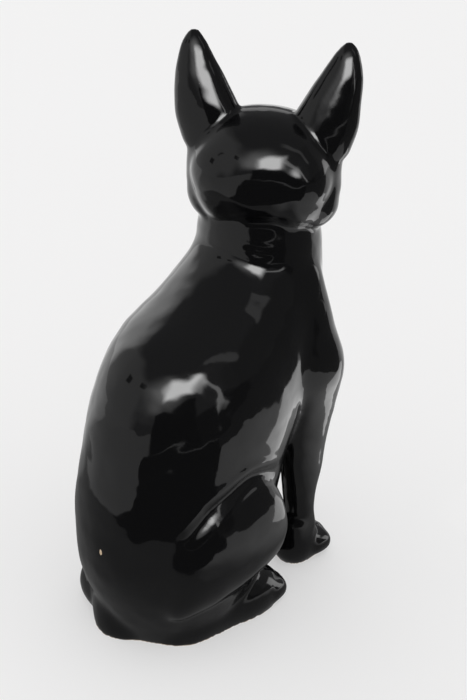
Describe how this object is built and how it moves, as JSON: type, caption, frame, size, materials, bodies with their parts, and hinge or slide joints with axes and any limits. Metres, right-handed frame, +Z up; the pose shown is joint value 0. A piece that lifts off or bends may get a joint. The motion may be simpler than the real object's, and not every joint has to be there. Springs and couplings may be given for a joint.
{
  "type": "ceramic cat figurine",
  "caption": "Seated slip-cast cat with tall ears, its head turned to one side, hollow inside, glossy black glaze all over and a bare clay slab underneath.",
  "frame": {"origin": "bottom centre of the figure's box, on the surface it stands on", "axes": "+Z up along the seated cat, -Y the way its chest faces, +X to its left side"},
  "size_m": [0.1215, 0.1773, 0.3335],
  "materials": {
    "black_glaze": "glossy black glaze over fired clay",
    "bare_clay": "unglazed fired clay, matt and slightly gritty",
    "eye_glaze": "glossy dark brown glaze"
  },
  "bodies": {
    "root": {"torso": "black_glaze", "base_slab": "bare_clay", "head": "black_glaze", "left_ear": "black_glaze", "right_ear": "black_glaze", "left_eye": "eye_glaze", "right_eye": "eye_glaze", "left_foreleg": "black_glaze", "right_foreleg": "black_glaze", "left_haunch": "black_glaze", "right_haunch": "black_glaze", "left_hind_foot": "black_glaze", "right_hind_foot": "black_glaze", "tail": "black_glaze"}
  },
  "joints": []
}
